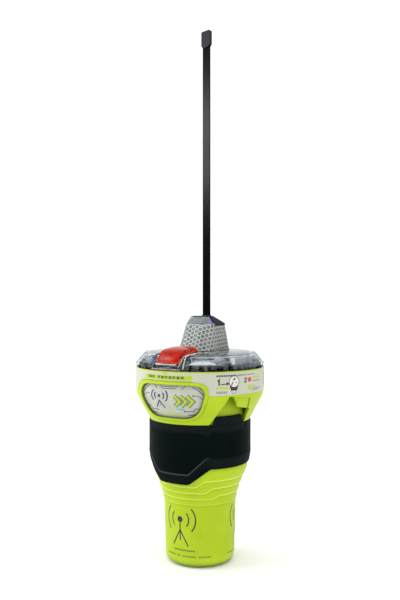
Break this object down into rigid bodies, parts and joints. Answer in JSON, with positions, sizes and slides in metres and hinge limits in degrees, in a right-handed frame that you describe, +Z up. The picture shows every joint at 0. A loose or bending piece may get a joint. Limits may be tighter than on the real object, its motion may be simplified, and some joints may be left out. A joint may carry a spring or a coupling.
{
  "type": "emergency position beacon",
  "caption": "Hand-held emergency position beacon with a flared head, clear strobe lens, hinged switch cover and whip antenna.",
  "frame": {"origin": "centre of the foot it stands on", "axes": "+Z up along the body and the antenna, -Y the front with the switch cover and the window, +X to the right seen from the front"},
  "size_m": [0.1068, 0.1071, 0.443],
  "materials": {
    "case": "semi-gloss moulded fluorescent yellow-green",
    "grip": "matte black elastomer",
    "badge": "printed silver-white plate",
    "label": "printed off-white film",
    "lens": "smoky clear polycarbonate",
    "film": "honeycomb retro-reflective film",
    "black": "matt black moulding",
    "white": "white reflector",
    "red": "translucent red",
    "redkey": "red silicone key",
    "greenkey": "green silicone key",
    "seal": "silicone seal",
    "steel": "stainless",
    "blacksteel": "black-coated spring steel",
    "board": "solder-masked circuit board",
    "led": "LED package",
    "ceramic": "patch antenna ceramic",
    "brass": "plated brass",
    "chassis": "dark grey moulding",
    "cell": "shrink-sleeved cell",
    "wire": "insulated wire",
    "plug": "connector shell",
    "reed": "glass reed tube"
  },
  "bodies": {
    "housing": {"lower_case": "case", "upper_case": "case", "case_seal": "seal", "case_screws": "steel", "grip_band": "grip", "head_shroud": "case", "front_badge": "badge", "rim_label": "label", "rear_label": "label", "lens": "lens", "lens_seal": "seal", "lens_screws": "blacksteel", "deck_ring": "black", "reflector_tray": "black", "reflector_film": "film", "strobe_dishes": "white", "strobe_leds": "led", "strobe_modules": "black", "infrared_led": "black", "led_board": "board", "led_board_screws": "steel", "led_board_posts": "brass", "gps_antenna": "ceramic", "gps_board": "board", "chassis": "chassis", "main_board": "board", "board_screws": "steel", "rf_shield": "steel", "reed_switch": "reed", "battery_cells": "cell", "battery_tray": "chassis", "battery_cap": "chassis", "battery_pad": "seal", "battery_lead": "wire", "battery_plug": "plug", "water_contacts": "steel", "keypad_mat": "seal", "switch_board": "board", "dome_switches": "steel", "status_leds": "led", "cover_pin": "steel", "antenna_cap": "black", "antenna_pin": "steel", "antenna_feed": "brass"},
    "cover": {"switch_cover": "red"},
    "on_key": {"on_button": "redkey"},
    "test_key": {"test_button": "greenkey"},
    "antenna": {"antenna_root": "black", "antenna_blade": "blacksteel", "antenna_tip": "black"}
  },
  "joints": [
    {"name": "cover_hinge", "type": "hinge", "parent": "housing", "child": "cover", "pos_m": [0, -0.0215, 0.1753], "axis": [-1, 0, 0], "range_deg": [0, 100]},
    {"name": "on_press", "type": "slide", "parent": "housing", "child": "on_key", "axis": [0, 0, -1], "range_m": [0, 0.0009], "stiffness_N_per_m": 700},
    {"name": "test_press", "type": "slide", "parent": "housing", "child": "test_key", "axis": [0, 0, -1], "range_m": [0, 0.0009], "stiffness_N_per_m": 700},
    {"name": "antenna_fold", "type": "hinge", "parent": "housing", "child": "antenna", "pos_m": [0, 0.0105, 0.1972], "axis": [-1, 0, 0], "range_deg": [0, 90], "stiffness_Nm_per_rad": 0.2}
  ]
}
